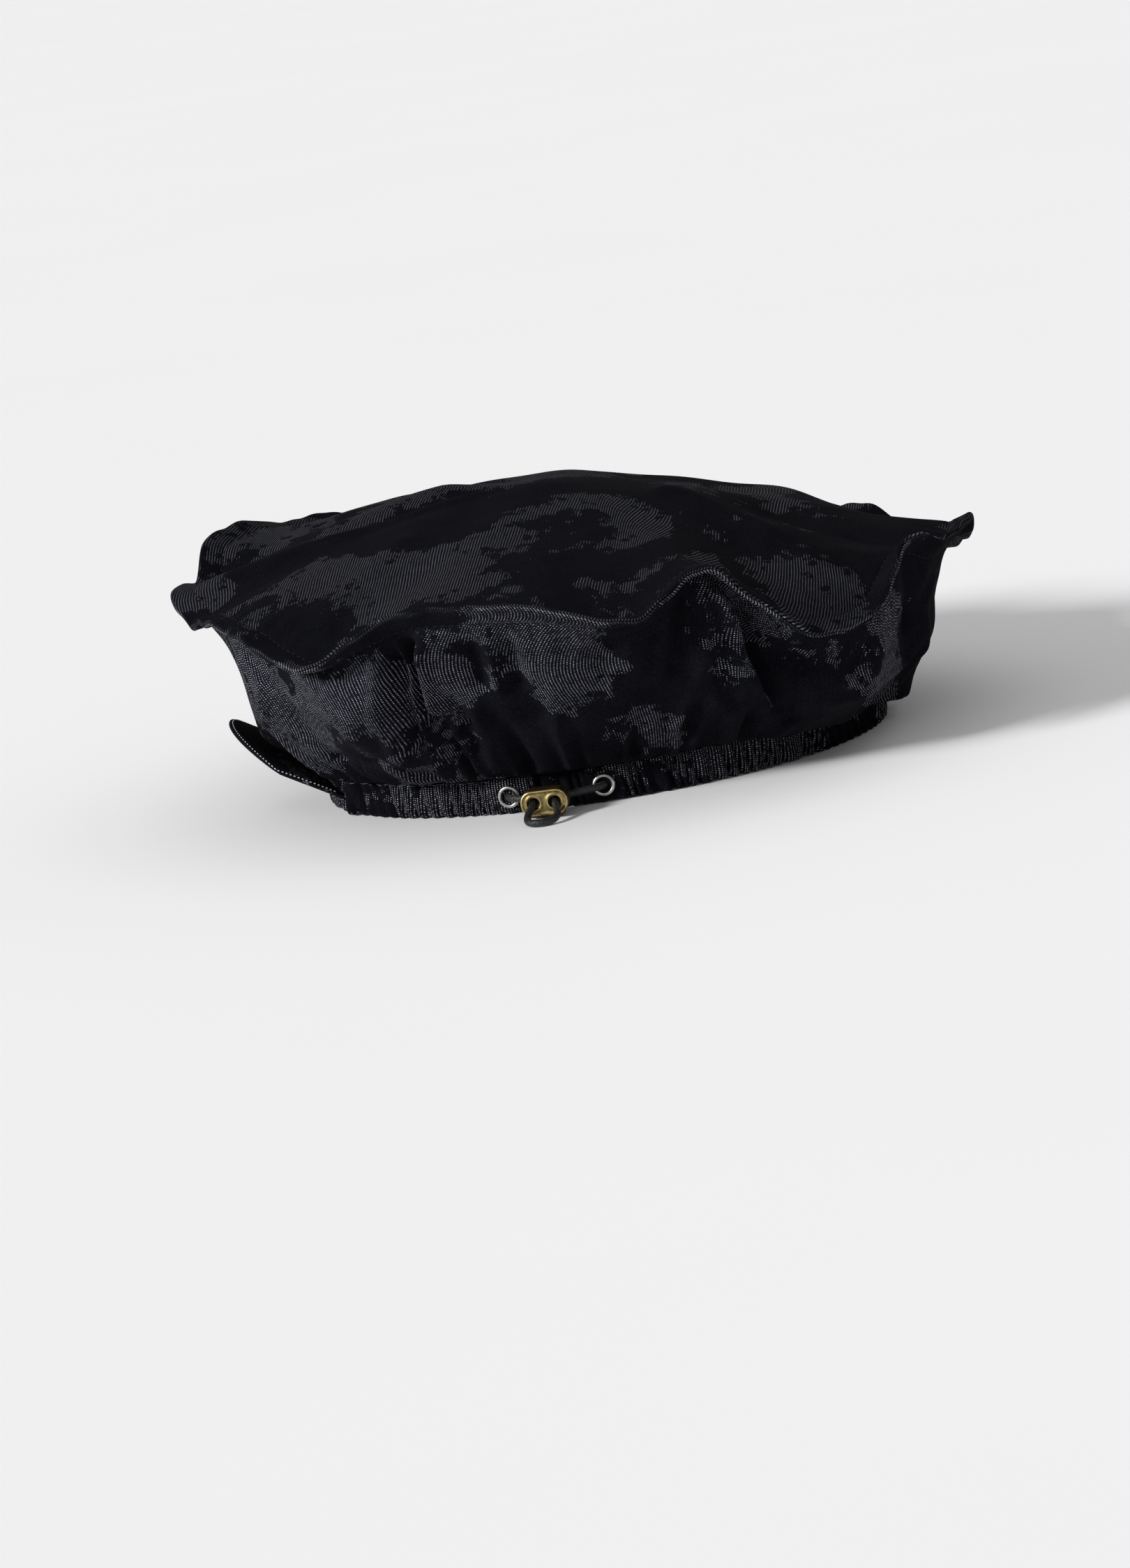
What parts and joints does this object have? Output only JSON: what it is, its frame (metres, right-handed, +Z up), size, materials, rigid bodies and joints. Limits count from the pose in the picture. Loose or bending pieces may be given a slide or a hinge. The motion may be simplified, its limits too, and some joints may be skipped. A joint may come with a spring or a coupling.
{
  "type": "painter hat",
  "caption": "Soft wide painter hat: domed top and side panel sewn into a wavy flange, ruched band with cord lock, and a small turned-up peak.",
  "frame": {"origin": "middle of the hat's outline from above, at the height of the surface that the band's lower edge rests on", "axes": "+X from the rear peak towards the front of the hat, +Y from the cord lock towards the far side, +Z up out of the top panel"},
  "size_m": [0.2861, 0.2719, 0.1028],
  "materials": {
    "flocked_twill": "charcoal cotton twill under matt black velvet flock in irregular blotches",
    "nickel": "bright nickel plate, lightly worn",
    "old_brass": "antique brass plate, dark in its recesses",
    "black_elastic": "fine black braid over rubber"
  },
  "bodies": {
    "root": {"crown_top": "flocked_twill", "crown_side": "flocked_twill", "band": "flocked_twill", "peak": "flocked_twill", "eyelet_rear": "nickel", "eyelet_front": "nickel", "drawcord": "black_elastic", "lock_body": "old_brass"},
    "plunger": {"lock_plunger": "old_brass"}
  },
  "joints": [
    {"name": "plunger_press", "type": "slide", "parent": "root", "child": "plunger", "axis": [0, 0, 1], "range_m": [0, 0.0011], "stiffness_N_per_m": 200}
  ]
}
